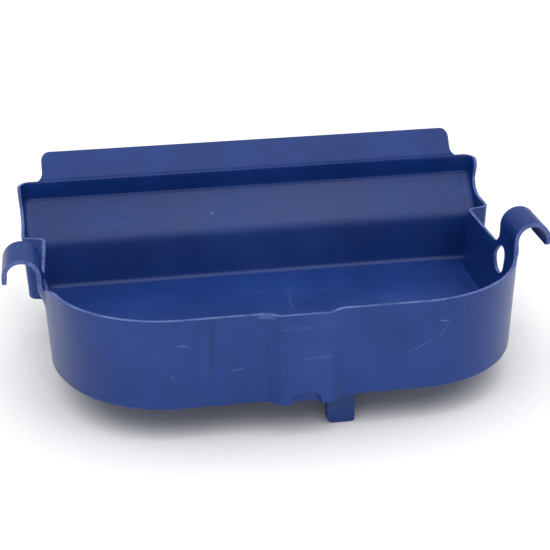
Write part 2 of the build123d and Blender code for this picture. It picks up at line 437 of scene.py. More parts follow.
@dataclass(frozen=True)
class MouldedFinish:
    """Moulded polyethylene: satin, slightly waxy, with drifting tone, handling marks and a painted shade
    line.

    The eye gets a soft wide sheen from the waxy skin, a faint cloudiness from uneven
    cooling, a fine pebble from the mould and a few pale hairline scratches.
    """

    name: str = "satin moulded polyethylene"
    base: str = "#113071"
    deep: str = "#0e2b67"
    pale: str = "#17387b"
    scratch: str = "#6880b4"
    roughness: float = 0.33
    specular: float = 0.27
    cloud_mm: float = 70.0
    streak_mm: float = 9.0
    streak_share: float = 0.22
    pebble_mm: float = 1.6  # real pebble is finer, drawn as coarse as it needs to show
    scratch_mm: float = 26.0
    scratch_patch: float = 0.35  # grain of a scratch against that of the patches they come in
    scratch_share: float = 0.3
    wander_mm: float = 9.0
    bump: float = 0.05
    marks: tuple[Mark, ...] = ()

    def build(self) -> bpy.types.Material:
        """Makes the material.

        Returns:
            The node material.
        """
        material, shader, place = start_material(self.name)
        tree = material.node_tree
        clouds = noise(tree, place, self.cloud_mm, 3.0, Roughness=0.55)["Fac"]
        tones = add_node(tree, "ShaderNodeValToRGB", None, {"Fac": clouds})
        elements = tones.color_ramp.elements
        elements.new(0.5)
        for element, position, code in zip(elements, (0.3, 0.52, 0.75), (self.deep, self.base, self.pale)):
            element.position = position
            element.color = linear(code)
        flow = add_node(tree, "ShaderNodeMapping", None, {"Vector": place, "Scale": (1.0, 1.0, 0.12)})
        streaks = noise(tree, flow.outputs[0], self.streak_mm)["Fac"]
        streaked = rescale(tree, streaks, (0.35, 0.8), (0.0, self.streak_share))
        colour = blend(tree, streaked, tones.outputs["Color"], linear(self.pale))
        colour = self.add_scratches(tree, place, colour)
        for mark in self.marks:
            colour = self.add_mark(tree, place, colour, mark)
        tree.links.new(colour, shader.inputs["Base Color"])
        sheen = rescale(tree, clouds, (0.3, 0.75), (self.roughness - 0.04, self.roughness + 0.06))
        tree.links.new(sheen, shader.inputs["Roughness"])
        shader.inputs["IOR"].default_value = POLYETHYLENE_IOR
        shader.inputs["Specular IOR Level"].default_value = self.specular
        pebble = noise(tree, place, self.pebble_mm)["Fac"]
        waves = relief(tree, clouds, 0.25, 1.2)
        tree.links.new(relief(tree, pebble, self.bump, 0.3, Normal=waves), shader.inputs["Normal"])
        return material

    def add_scratches(
        self, tree: bpy.types.NodeTree, place: bpy.types.NodeSocket, colour: bpy.types.NodeSocket
    ) -> bpy.types.NodeSocket:
        """Draws pale hairline scratches over a colour, in three directions.

        Args:
            tree: The material's tree.
            place: The object coordinates.
            colour: The colour under the scratches.

        Returns:
            The colour with scratches.
        """
        for turn, offset in ((0.5, 0.0), (-0.9, 3.1), (1.9, 7.7)):
            tilt = {
                "Vector": place,
                "Location": (offset, offset / 2, offset / 3),
                "Rotation": (turn, turn / 2, turn),
                "Scale": (0.06, 1.0, 1.0),
            }
            tilted = add_node(tree, "ShaderNodeMapping", None, tilt).outputs[0]
            bent = noise(tree, tilted, self.scratch_mm, 4.0)["Fac"]
            width = reckon(tree, "ABSOLUTE", reckon(tree, "SUBTRACT", bent, 0.5))
            hair = rescale(tree, width, (0.0, 0.004), (1.0, 0.0))
            patch = noise(tree, tilted, self.scratch_mm / self.scratch_patch, 1.0)["Fac"]
            share = reckon(tree, "MULTIPLY", hair, rescale(tree, patch, (0.58, 0.68)))
            faint = reckon(tree, "MULTIPLY", share, self.scratch_share)
            colour = blend(tree, faint, colour, linear(self.scratch))
        return colour

    def add_mark(
        self, tree: bpy.types.NodeTree, place: bpy.types.NodeSocket, colour: bpy.types.NodeSocket, mark: Mark
    ) -> bpy.types.NodeSocket:
        """Draws one local mark over a colour.

        Args:
            tree: The material's tree.
            place: The object coordinates.
            colour: The colour under the mark.
            mark: The mark.

        Returns:
            The colour with the mark.
        """
        wander = noise(tree, place, self.wander_mm)["Color"]
        drift = add_node(
            tree,
            "ShaderNodeVectorMath",
            {"operation": "MULTIPLY_ADD"},
            {0: wander, 1: [mark.wander * MM] * 3, 2: place},
        )
        around = {
            "Vector": drift.outputs[0],
            "Location": [(value + mark.wander / 2) * MM for value in mark.middle],
            "Rotation": (0.0, -math.radians(mark.turn), 0.0),
            "Scale": [value * MM for value in mark.half],
        }
        local = add_node(tree, "ShaderNodeMapping", {"vector_type": "TEXTURE"}, around)
        ball = add_node(tree, "ShaderNodeTexGradient", {"gradient_type": "SPHERICAL"}, {0: local.outputs[0]})
        share = rescale(tree, ball.outputs["Fac"], (0.0, 0.6), (0.0, mark.strength))
        return blend(tree, share, colour, linear(mark.colour))


@dataclass(frozen=True)
class TrimmedFinish:
    """Knife-trimmed polyethylene edge: paler and duller, with short drag lines.

    The rim is painted paler than the skin, partly for the cut's stress whitening and partly as a painted
    highlight along the edge, so it reads as a pale line with small lighter nicks where the blade stopped.
    """

    name: str = "knife-trimmed polyethylene"
    # paler base and white of the cut rim: partly stress whitening, partly painted highlight along the edge
    base: str = "#1a3577"
    white: str = "#5a6ea8"
    roughness: float = 0.55
    drag_mm: float = 1.4
    patch_mm: float = 14.0

    def build(self) -> bpy.types.Material:
        """Makes the material.

        Returns:
            The node material.
        """
        material, shader, place = start_material(self.name)
        tree = material.node_tree
        drag = noise(tree, place, self.drag_mm, 3.0)["Fac"]
        both = reckon(tree, "ADD", drag, noise(tree, place, self.patch_mm)["Fac"])
        # pale patches over the rim, partly stress whitening and partly painted highlight
        colour = blend(tree, rescale(tree, both, (0.8, 1.35)), linear(self.base), linear(self.white))
        tree.links.new(colour, shader.inputs["Base Color"])
        rough = rescale(tree, drag, (0.0, 1.0), (self.roughness - 0.08, self.roughness + 0.1))
        tree.links.new(rough, shader.inputs["Roughness"])
        shader.inputs["IOR"].default_value = POLYETHYLENE_IOR
        tree.links.new(relief(tree, drag, 0.3, 0.2), shader.inputs["Normal"])
        return material


@dataclass(frozen=True)
class PaperFinish:
    """Matt white studio paper: a pale, nearly even surface with a faint fibre."""

    name: str = "matt studio paper"
    base: str = "#f4f4f4"
    shade: str = "#ececec"
    fibre_mm: float = 6.0
    roughness: float = 0.9
    specular: float = 0.2

    def build(self) -> bpy.types.Material:
        """Makes the material.

        Returns:
            The node material.
        """
        material, shader, place = start_material(self.name)
        tree = material.node_tree
        fibre = noise(tree, place, self.fibre_mm)["Fac"]
        tree.links.new(blend(tree, fibre, linear(self.base), linear(self.shade)), shader.inputs["Base Color"])
        shader.inputs["Roughness"].default_value = self.roughness
        shader.inputs["Specular IOR Level"].default_value = self.specular
        return material


# --------------------------------------------------------------------------------------
# The moulding
# --------------------------------------------------------------------------------------


@dataclass
class Moulding:
    """The trough as one thin skin that gets its wall from a node tree. Sizes in mm."""

    # walls and floor
    wall: float = 3.0
    floor_wall: float = 4.0
    draft: float = 2.5
    floor_fillet: float = 3.0
    riser_fillet: float = 5.5
    floor_margin: float = 1.0
    # plan and rim, from the middle to the cheek
    half_length: float = 208.5
    half_cheek: float = 228.3
    lead: float = 91.3
    lead_slant: float = 22.6
    lead_radius: float = 115.0
    front_radius: float = 103.0
    front_rise: float = 83.5
    rim_level: float = 77.5
    rim_bend: float = 6.0
    rim_slope: float = 0.4474
    end_rise: float = 65.4
    step_back: float = 240.0
    step_slant: float = 14.0
    step_radius: float = 7.0
    cheek_radius: float = 5.0
    cheek_foot_radius: float = 5.3
    cheek_swell: float = 3.2  # extra radius of the cheek's corner low down
    cheek_swell_rise: float = 52.0
    # stepped back: depth and rise of each stretch, and of the flange beside it
    pocket_depth: float = 20.5
    back_radius: float = 7.0
    back_runs: tuple[tuple[float, float], ...] = (
        (13.0, 43.0),
        (36.0, 32.0),
        (-6.0, 20.6),
        (18.0, 24.9),
    )
    back_radii: tuple[float, ...] = (22.0, 5.0, 5.0)
    flange_depths: tuple[tuple[float, float], ...] = (
        (65.4, 17.0),
        (70.4, 11.3),
        (81.3, 16.3),
        (92.0, 15.2),
        (99.6, 8.6),
    )
    # front bulge
    bulge_width: float = 64.0
    bulge_flank: float = 11.0
    bulge_depth: float = 10.3
    bulge_foot_radius: float = 8.0
    bulge_edge_radius: float = 6.0
    least_radius: float = 0.4
    # top panel and shoulder
    panel_half: float = 207.7
    panel_fillet: float = 8.0
    panel_corner: float = 8.0
    shoulder_drop: float = 1.6
    shoulder_fall: float = 4.0  # height over which the flange eases down to the shoulder
    # hook, over the rail
    hook_setback: float = 102.5
    hook_width: float = 44.0
    hook_wall: float = 3.8
    rail_radius: float = 13.0
    rail_out: float = 20.2
    rail_rise: float = 85.3
    tip_drop: float = 6.5
    tip_radius: float = 4.0
    # neck that joins the hook to the rim, and the leaning wall under it
    neck_rise: float = 78.0
    neck_rear_rise: float = 77.0
    neck_bead: float = 0.7
    bead_rise: tuple[float, ...] = (65.0, 73.0, 77.0, 83.0)  # where the bead swells and fades
    bead_lead: float = 5.0
    bead_reach: float = 6.0
    neck_start: float = 68.0
    neck_lead: float = 8.2
    neck_leave: tuple[float, float] = (4.2, 1.9)  # handle of the neck's curve where it leaves the rim
    neck_arrive: float = 5.0  # and where it meets the hook
    lean_in: tuple[float, float] = (-13.0, 2.0)  # from the hook's front
    lean_away: tuple[float, float] = (-2.0, 75.0)  # from the hook's rear
    lean_rise: tuple[float, float] = (54.0, 76.0)
    hook_wall_rise: tuple[float, float] = (63.0, 79.0)
    hook_zone: tuple[float, float] = (1.0, 5.0)  # past the hook's sides, and inside the end wall
    bead_zone: float = 12.0
    # cut-out, from the hook's front and the underside, and the arched recess
    cutout_centre: tuple[float, float] = (31.5, 55.3)
    cutout_half: tuple[float, float] = (14.0, 12.9)
    recess_half: float = 12.5
    recess_rise: float = 12.0
    recess_depth: float = 8.0
    recess_radius: float = 9.0
    edge_round: float = 0.45
    backing_inset: float = 1.2
    backing_lift: float = 1.0
    # grid of columns and rows that carries the sizes above
    block_lead: float = 12.5
    block_tail: float = 12.6
    level_rise: float = 34.0
    face_slack: float = 0.02  # the bulge's upright face, by depth
    face_lift: float = 0.5  # and clear of the floor
    seam_gap: float = 0.004
    rim_gap: float = 0.002
    hole_ring: int = 3
    hole_cells: int = 12
    fillet_rows: int = 10
    low_rows: int = 5
    flange_rows: int = 30

    def __post_init__(self) -> None:
        """Works out the places that every patch shares, from the CAD frame."""
        self.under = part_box("floor_pan")[0].z / MM
        self.floor = self.under + self.floor_wall
        self.lean = math.tan(math.radians(self.draft))
        self.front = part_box("bulge_foot")[0].y / MM + self.bulge_depth
        self.step = self.front + self.step_back
        self.corner = self.front + self.rim_level
        self.slant_turn = math.radians(self.lead_slant)
        self.corner_x = self.half_length - self.lead * math.tan(self.slant_turn)
        self.lead_end = self.front + self.lead + self.lead_radius * math.tan(self.slant_turn / 2)
        self.hook_front = self.front + self.hook_setback
        self.hook_rear = self.hook_front + self.hook_width
        self.rail_x = self.half_length + self.rail_out
        self.leg_x = self.rail_x - self.rail_radius - self.hook_wall
        self.rim = self.under + self.end_rise
        self.block_start = self.hook_front + self.block_lead
        self.block_end = self.hook_rear + self.block_tail
        self.profile = self.back_profile()
        self.lip = self.floor + sum(rise for _, rise in self.back_runs[:3])
        self.top = self.lip + self.back_runs[3][1]
        self.neck_depths, self.neck_rims = self.neck()
        self.columns: dict[str, int] = {}
        self.flange_share = 0.5
        self.hole = (0, 0, 0)
        self.rim_line: list[tuple[float, ...]] = []

    def back_profile(self) -> np.ndarray:
        """Side view of the stepped back's front surface, as depth and height.

        Returns:
            A dense polyline, from the floor to above the top panel.
        """
        stations = [(self.step + self.pocket_depth, self.floor)]
        for depth, rise in self.back_runs:
            stations.append((stations[-1][0] + depth, stations[-1][1] + rise))
        pieces = [np.array([stations[0]])]
        for index, radius in enumerate(self.back_radii, start=1):
            pieces.append(corner_arc(stations[index - 1], stations[index], stations[index + 1], radius, 24))
        pieces.append(np.array([stations[-1]]))
        return np.concatenate(pieces)

    def back(self, height: Any) -> Any:
        """Depth of the stepped back's front surface at a height."""
        return np.interp(height, self.profile[:, 1], self.profile[:, 0])

    def grow(self, height: Any) -> Any:
        """How far the drafted inner skin stands outside the outer plan at the floor."""
        return (height - self.under) * self.lean - self.wall

    def end_x(self, depth: Any, grow: Any) -> Any:
        """X of the end wall's inner skin, which turns inward towards the front corner.

        Args:
            depth: Y of the place.
            grow: How far the skin stands outside the outer plan at the floor.

        Returns:
            Its X.
        """
        radius = self.lead_radius + grow
        past = np.maximum(self.lead_end - depth, 0.0)
        turned = np.minimum(past, radius * math.sin(self.slant_turn))
        curved = self.half_length - self.lead_radius + np.sqrt(radius**2 - turned**2)
        return curved - (past - turned) * math.tan(self.slant_turn)

    def rim_height(self, depth: float) -> float:
        """Height of the front rim at a depth, level and then sloping to the hook.

        Args:
            depth: Y of the place on the rim.

        Returns:
            Its Z.
        """
        past = depth - self.corner
        fall = (math.hypot(past, self.rim_bend) + past) / 2
        return self.under + self.front_rise - self.rim_slope * fall

    def neck(self) -> tuple[np.ndarray, np.ndarray]:
        """Depths and rim heights of the end wall's fixed columns, up to behind the hook.

        Returns:
            The depths and the heights, one for each column.
        """
        before = self.hook_front - self.neck_lead
        depths = list(np.linspace(self.front + self.neck_start, before, 8, endpoint=False))
        heights = [self.rim_height(depth) for depth in depths]
        start = (before, self.rim_height(before))
        end = (self.hook_front, self.under + self.neck_rise)
        first = (before + self.neck_leave[0], start[1] - self.neck_leave[1])
        second = (self.hook_front, self.under + self.neck_rise - self.neck_arrive)
        for share in np.linspace(0.0, 1.0, 5, endpoint=False):
            rest = 1 - share
            depth, height = (
                rest**3 * a + 3 * rest**2 * share * b + 3 * rest * share**2 * c + share**3 * d
                for a, b, c, d in zip(start, first, second, end)
            )
            depths.append(depth)
            heights.append(height)
        over_hook = list(np.linspace(self.hook_front, self.block_start, 4, endpoint=False))
        over_hook += list(np.linspace(self.block_start, self.hook_rear, 13, endpoint=False))
        rear = self.under + self.neck_rear_rise
        for depth in over_hook:
            share = (depth - self.hook_front) / self.hook_width
            depths.append(depth)
            heights.append(end[1] + (rear - end[1]) * share)
        radius = rear - self.rim
        for turn in QUARTER_TURN:
            depths.append(self.hook_rear + radius * (1 - math.cos(turn)))
            heights.append(self.rim + radius * (1 - math.sin(turn)))
        return np.array([*depths, self.block_end]), np.array([*heights, self.rim])

    def plan(
        self, grow: float, back: float, step_back: float, inset: float, flange: Optional[float] = None
    ) -> np.ndarray:
        """Half of the inner skin's plan at one height, from the front's middle to the back's.

        Args:
            grow: How far the skin stands outside the outer plan at the floor.
            back: Depth of the back there.
            step_back: Radius of the cheek's outer corner.
            inset: How far the row lies inside the wall, on the floor fillet.
            flange: Depth of the flange's free edge, where it isn't a share of the cheek.

        Returns:
            One point for each column.
        """
        offset = grow - inset
        tilt = math.radians(self.draft)
        seat = self.floor_fillet * (1 - (1 - math.sin(tilt)) / math.cos(tilt)) if inset else 0.0
        inward = self.wall + inset + seat
        standing = self.bulge_depth - offset - inward
        slope = math.tan(math.radians(self.step_slant))
        slant = offset / math.cos(math.radians(self.step_slant))
        shift = -inward * math.tan(math.atan2(standing, self.bulge_flank) / 2)
        end_x = self.half_length + offset
        cheek_x = self.half_cheek + offset
        front_y = self.front - offset
        step_run = self.half_cheek - self.half_length
        nose = (self.bulge_width / 2 - self.bulge_flank + shift, front_y - standing)
        foot = (self.bulge_width / 2 + shift, front_y)
        turn = self.slant_turn
        round_end = (self.corner_x + offset * (1 - math.sin(turn)) / math.cos(turn), front_y)
        lead = (end_x, self.front + self.lead - offset * math.tan(turn / 2))
        inner = (end_x, self.step + offset * slope - slant)
        outer = (cheek_x, self.step + (step_run + offset) * slope - slant)
        rear = (cheek_x, back)
        start = (0.0, nose[1])
        least = self.least_radius
        nose_arc = corner_arc(start, nose, foot, max(self.bulge_edge_radius - inward, least), 5)
        foot_arc = corner_arc(nose, foot, round_end, self.bulge_foot_radius + inward, 6)
        front_arc = corner_arc(foot, round_end, lead, self.front_radius + offset, 32)
        step_arc = corner_arc(lead, inner, outer, self.step_radius - offset, 7)
        cheek_arc = corner_arc(inner, outer, rear, max(step_back - inset, least), 7)
        back_arc = corner_arc(outer, rear, (0.0, back), max(self.back_radius - inset, least), 7)
        depths = self.neck_depths
        fixed = np.stack([self.end_x(depths, offset), depths], axis=1)
        edge = flange
        if edge is None:
            edge = cheek_arc[-1][1] + self.flange_share * (back_arc[0][1] - cheek_arc[-1][1])
        fillet_x = self.panel_half + self.panel_fillet * (1 - np.sin(np.linspace(0, math.pi / 2, 5, False)))
        corner_x = self.panel_half - self.panel_corner * (1 - np.cos(np.linspace(0, math.pi / 2, 6, False)))
        flat_x = np.linspace(self.panel_half - self.panel_corner, 0.0, 27)
        back_x = np.concatenate([fillet_x, corner_x, flat_x])
        pieces = {
            "bulge": run(start, nose_arc[0], 9),
            "edge_arc": nose_arc[:-1],
            "flank": run(nose_arc[-1], foot_arc[0], 2),
            "foot_arc": foot_arc[:-1],
            "front": run(foot_arc[-1], front_arc[0], 20),
            "corner_arc": front_arc[:-1],
            "slanted": run(front_arc[-1], fixed[0], 2),
            "neck": fixed,
            "end_wall": run((end_x, self.block_end), step_arc[0], 17)[1:],
            "step_arc": step_arc[:-1],
            "slant": run(step_arc[-1], cheek_arc[0], 3),
            "cheek_arc": cheek_arc[:-1],
            "cheek": run(cheek_arc[-1], (cheek_x, edge), 7),
            "flange": run((cheek_x, edge), back_arc[0], 4),
            "back_arc": back_arc[:-1],
            "shoulder": run(back_arc[-1], (back_x[0], back), 2),
            "panel": np.stack([back_x, np.full(len(back_x), back)], axis=1),
        }
        if not self.columns:
            ends = np.cumsum([0] + [len(piece) for piece in pieces.values()])
            self.columns = {name: int(place) for name, place in zip([*pieces, "end"], ends)}
        return np.concatenate(list(pieces.values()))

    def lean_out(self, points: np.ndarray) -> None:
        """Leans the end wall outward under the hook, up to the hook's leg.

        Args:
            points: The end wall's columns, moved in place.
        """
        y, z = points[..., 1], points[..., 2]
        window = ease(*self.lean_in, y - self.hook_front) * (1 - ease(*self.lean_away, y - self.hook_rear))
        rise = ease(*self.lean_rise, z - self.under)
        points[..., 0] += (self.leg_x - self.end_x(y, self.grow(z))) * window * rise

    def build_grid(self) -> list[np.ndarray]:
        """Makes the patches of the right half of the inner skin.

        Returns:
            The patches, each an array of rows by columns by 3.
        """
        floor_grow = self.grow(self.floor)
        probe = self.plan(floor_grow, self.back(self.floor), self.cheek_foot_radius, 0.0)
        mark = self.columns
        count = mark["end"]
        rim_grow = self.grow(self.rim)
        rim_plan = self.plan(rim_grow, self.back(self.rim), self.cheek_radius + rim_grow, 0.0)
        cheek_start = rim_plan[mark["cheek"]][1]
        cheek_end = rim_plan[mark["back_arc"]][1]
        rim_edge = self.back(self.rim) - self.flange_depths[0][1]
        self.flange_share = (rim_edge - cheek_start) / (cheek_end - cheek_start)

        # rim height of each column
        rims = np.full(count, self.under + self.front_rise)
        for column in range(mark["corner_arc"], mark["neck"]):
            rims[column] = self.rim_height(probe[column][1])
        rims[mark["neck"] : mark["end_wall"]] = self.neck_rims
        rims[mark["end_wall"] :] = self.rim

        # share of the stepped back's own slope in each column
        share = np.zeros(count)
        span = mark["shoulder"] - mark["back_arc"]
        share[mark["back_arc"] : mark["shoulder"]] = np.arange(span) / span
        share[mark["shoulder"] :] = 1.0

        wall_tilt = math.radians(self.draft)
        back_tilt = math.atan2(*self.back_runs[0])
        rows = []
        radii = (self.floor_fillet, self.riser_fillet)
        for index in range(-1, self.fillet_rows + 1):
            step = max(index, 0) / self.fillet_rows
            places = []
            for tilt, radius in zip((wall_tilt, back_tilt), radii):
                turn = (math.pi / 2 - tilt) * step
                tangent = radius * (1 - math.sin(tilt)) / math.cos(tilt)
                inset = tangent - radius * math.sin(turn) + (self.floor_margin if index < 0 else 0.0)
                places.append((inset, self.floor + radius * (1 - math.cos(turn))))
            back = self.back(self.floor) - places[1][0]
            flat = self.plan(floor_grow, back, self.cheek_foot_radius, places[0][0])
            ends = places[0][1] * (1 - share) + places[1][1] * share
            rows.append(np.column_stack([flat, ends]))

        # straight walls, first to a shared height and then to each column's own rim
        shared = self.under + self.level_rise
        total = self.hole_cells + 2 * self.hole_ring
        base_plan = self.plan(0.0, self.back(self.floor), self.cheek_radius, 0.0)
        unit_plan = self.plan(1.0, self.back(self.floor), self.cheek_radius, 0.0)
        levels = [ends + (shared - ends) * (step / self.low_rows) for step in range(1, self.low_rows + 1)]
        levels += [shared + (rims - shared) * (step / total) for step in range(1, total + 1)]
        for heights_here in levels:
            level = heights_here[mark["end_wall"]]
            back_level = heights_here[-1]
            soft = 1 - ease(self.floor, self.under + self.cheek_swell_rise, level)
            corner = self.cheek_radius + self.grow(level) + self.cheek_swell * soft
            flat = self.plan(self.grow(level), self.back(back_level), corner, 0.0)
            own = base_plan + self.grow(heights_here)[:, None] * (unit_plan - base_plan)
            past = slice(mark["neck"], None)
            own[past, 0] = self.end_x(own[past, 1], self.grow(heights_here)[past])
            front = self.plan(self.grow(heights_here[0]), self.back(back_level), corner, 0.0)
            flat[: mark["end_wall"]] = own[: mark["end_wall"]]
            flat[: mark["corner_arc"]] = front[: mark["corner_arc"]]
            rows.append(np.column_stack([flat, heights_here]))
        wall = np.array(rows)
        left = mark["neck"] + 17
        self.warp_cutout(wall, left, len(rows) - 1 - total, total)
        self.lean_out(wall[:, mark["neck"] : mark["step_arc"]])

        # flange of the cheek and the stepped back above the rim
        flange_rows = []
        for level in np.linspace(self.rim, self.lip, self.flange_rows + 1):
            depth = np.interp(level - self.under, *zip(*self.flange_depths))
            back = self.back(level)
            flat = self.plan(self.grow(level), back, self.cheek_radius + self.grow(level), 0.0, back - depth)
            drop = (1 - share) * self.shoulder_drop * ease(self.lip - self.shoulder_fall, self.lip, level)
            flange_rows.append(np.column_stack([flat, level - drop])[mark["flange"] :])
        flange = np.array(flange_rows)

        # the fillet over the shoulder, then the rest of the top panel
        across = base_plan[mark["panel"] :, 0]
        fillet_top = self.lip + self.panel_fillet
        reach = np.clip(self.panel_half + self.panel_fillet - across, 0.0, self.panel_fillet)
        low_top = fillet_top - np.sqrt(np.maximum(self.panel_fillet**2 - reach**2, 0.0))
        low_top[5:] = fillet_top
        low = self.panel_patch(across, np.full(len(across), self.lip), low_top, 5)
        inner = across[5:]
        over = np.clip(inner - (self.panel_half - self.panel_corner), 0.0, self.panel_corner)
        high_top = self.top - self.panel_corner + np.sqrt(np.maximum(self.panel_corner**2 - over**2, 0.0))
        high = self.panel_patch(inner, np.full(len(inner), fillet_top), high_top, 9)
        self.rim_line = [tuple(point) for point in wall[-1, : mark["neck"] + 8]]
        hook = self.hook_patch(wall[-1, left - 4 : left + 14])
        self.hole = (left, len(rows) - 1 - total, total)
        return [wall, flange, low, high, hook]

    def panel_patch(self, across: np.ndarray, low: np.ndarray, high: np.ndarray, steps: int) -> np.ndarray:
        """Part of the top panel between two heights.

        Args:
            across: X of each column.
            low: Lower height of each column.
            high: Upper height of each column.
            steps: Number of steps between them.

        Returns:
            The patch, rows by columns by 3.
        """
        rows = []
        for share in np.linspace(0.0, 1.0, steps + 1):
            level = low + (high - low) * share
            rows.append(np.column_stack([across, self.back(level), level]))
        return np.array(rows)

    def hook_patch(self, root: np.ndarray) -> np.ndarray:
        """Skin of the hook, from its root over the rail to the rounded tip.

        Args:
            root: The rim points that the hook grows from.

        Returns:
            The patch, rows by columns by 3.
        """
        axis = self.under + self.rail_rise
        reach = self.rail_radius + self.hook_wall
        rows = [root]
        for share in (0.34, 0.67):
            row = root.copy()
            row[:, 2] += (axis - row[:, 2]) * share
            rows.append(row)
        for turn in np.linspace(0.0, math.pi, 25):
            row = root.copy()
            row[:, 0] = self.rail_x - reach * math.cos(turn)
            row[:, 2] = axis + reach * math.sin(turn)
            rows.append(row)
        middle = (self.hook_front + self.hook_rear) / 2
        straight = self.tip_drop - self.tip_radius
        for turn in QUARTER_TURN:
            row = rows[-1].copy()
            trim = self.tip_radius * (1 - math.cos(turn))
            scale = (self.hook_width / 2 - trim) / (self.hook_width / 2)
            row[:, 1] = middle + (root[:, 1] - middle) * scale
            row[:, 2] = axis - straight - self.tip_radius * math.sin(turn)
            rows.append(row)
        return np.array(rows)

    def warp_cutout(self, wall: np.ndarray, left: int, low: int, total: int) -> None:
        """Bends a square block of the end wall's grid round the oval cut-out.

        Args:
            wall: The wall patch, changed in place.
            left: First column of the block.
            low: First row of the block.
            total: Cells along each side of the block.
        """
        block = wall[low : low + total + 1, left : left + total + 1].copy()
        edges = (block[total], block[::-1, total], block[0, ::-1], block[:, 0])
        centre = (self.hook_front + self.cutout_centre[0], self.under + self.cutout_centre[1])
        for level in range(1, self.hole_ring + 1):
            blend_out = 1 - level / self.hole_ring
            cells = total - 2 * level
            for side, edge in enumerate(edges):
                for step in range(cells):
                    share = step / cells
                    row, column = (
                        (level + cells, level + step),
                        (level + cells - step, level + cells),
                        (level, level + cells - step),
                        (level + step, level),
                    )[side]
                    near = int(share * total)
                    part = share * total - near
                    outer = edge[near] * (1 - part) + edge[min(near + 1, total)] * part
                    turn = math.radians(135 - 90 * side - 90 * share)
                    y, z = (
                        (middle + half * swing) * (1 - blend_out) + place * blend_out
                        for middle, half, swing, place in zip(
                            centre, self.cutout_half, (math.cos(turn), math.sin(turn)), outer[1:]
                        )
                    )
                    wall[low + row, left + column] = (self.end_x(y, self.grow(z)), y, z)

    def skin(self) -> bpy.types.Mesh:
        """Joins the patches, their mirror image and the floor into one open skin.

        Returns:
            The skin's mesh in metres, with the wall's factor at each point.
        """
        body = bmesh.new()
        patches = self.build_grid()
        column, row, total = self.hole
        ring = self.hole_ring
        for side in Side:
            for index, patch in enumerate(patches):
                points = patch * MM
                points[..., 0] *= side.value
                grid = [[body.verts.new(point) for point in line] for line in points]
                for r in range(len(grid) - 1):
                    for c in range(len(grid[0]) - 1):
                        in_rows = row + ring <= r < row + total - ring
                        in_columns = column + ring <= c < column + total - ring
                        if index == 0 and in_rows and in_columns:
                            continue
                        quad = [grid[r][c], grid[r][c + 1], grid[r + 1][c + 1], grid[r + 1][c]]
                        body.faces.new(quad if side is Side.LEFT else quad[::-1])
        bmesh.ops.remove_doubles(body, verts=body.verts, dist=self.seam_gap * MM)
        loose = [vert for vert in body.verts if not vert.link_faces]
        bmesh.ops.delete(body, geom=loose, context="VERTS")
        level = (self.floor + self.seam_gap) * MM
        ring_edges = [
            edge for edge in body.edges if edge.is_boundary and all(vert.co.z < level for vert in edge.verts)
        ]
        bmesh.ops.triangle_fill(body, use_beauty=True, use_dissolve=False, edges=ring_edges)
        bmesh.ops.recalc_face_normals(body, faces=body.faces)
        floor_face = min(body.faces, key=lambda face: face.calc_center_median().z)
        if floor_face.normal.z < 0:
            bmesh.ops.reverse_faces(body, faces=body.faces)
        mesh = to_mesh(body, "skin")
        self.store_wall(mesh)
        return mesh

    def foot_wall(self, height: np.ndarray) -> np.ndarray:
        """Wall thickness round the bottom edge, which keeps the outer edge as crisp as the inner.

        Args:
            height: Z of points of the inner skin.

        Returns:
            The thickness along the skin's normal at each of them.
        """
        inner = self.floor_fillet
        turn = np.arccos(np.clip(1 - (height - self.floor) / inner, 0.0, 1.0))
        across, down = inner + self.wall, inner + self.floor_wall
        ahead = (across - inner) * np.sin(turn) + (down - inner) * np.cos(turn)
        left = (across - inner) ** 2 + (down - inner) ** 2 - inner**2
        rounded = ahead + np.sqrt(np.maximum(ahead**2 - left, 0.0))
        flat = down / np.maximum(np.cos(turn), LEAST_SHARE)
        upright = across / np.maximum(np.sin(turn), LEAST_SHARE)
        on_floor = turn < math.atan2(across - inner, down)
        on_wall = turn > math.atan2(across, down - inner)
        return np.where(on_floor, flat, np.where(on_wall, upright, rounded)) - inner

    def store_wall(self, mesh: bpy.types.Mesh) -> None:
        """Stores how thick the wall is at each point, as a factor of the common wall.

        Args:
            mesh: The skin's mesh.
        """
        places = np.zeros(len(mesh.vertices) * 3)
        mesh.vertices.foreach_get("co", places)
        x, y, z = places.reshape(-1, 3).T / MM
        out = np.abs(x)
        past, within = self.hook_zone
        in_hook = (y > self.hook_front - past) & (y < self.hook_rear + past)
        in_hook = in_hook & (out > self.half_length - within)
        rise = z - self.under
        hook = in_hook * ease(*self.hook_wall_rise, rise) * (self.hook_wall - self.wall)
        near = np.exp(-(((y - self.hook_front + self.bead_lead) / self.bead_reach) ** 2))
        near = near * (out > self.half_length - self.bead_zone)
        bead = near * ease(*self.bead_rise[:2], rise) * (1 - ease(*self.bead_rise[2:], rise))
        face_y = self.front - self.bulge_depth + self.wall
        bulge_face = (y < face_y + self.face_slack) & (z > self.floor + self.face_lift)
        plain = np.where(bulge_face, self.wall, self.foot_wall(z))
        factor = (plain + hook + bead * self.neck_bead) / self.wall
        attribute = mesh.attributes.new("wall_factor", "FLOAT", "POINT")
        attribute.data.foreach_set("value", factor.astype(np.float32))

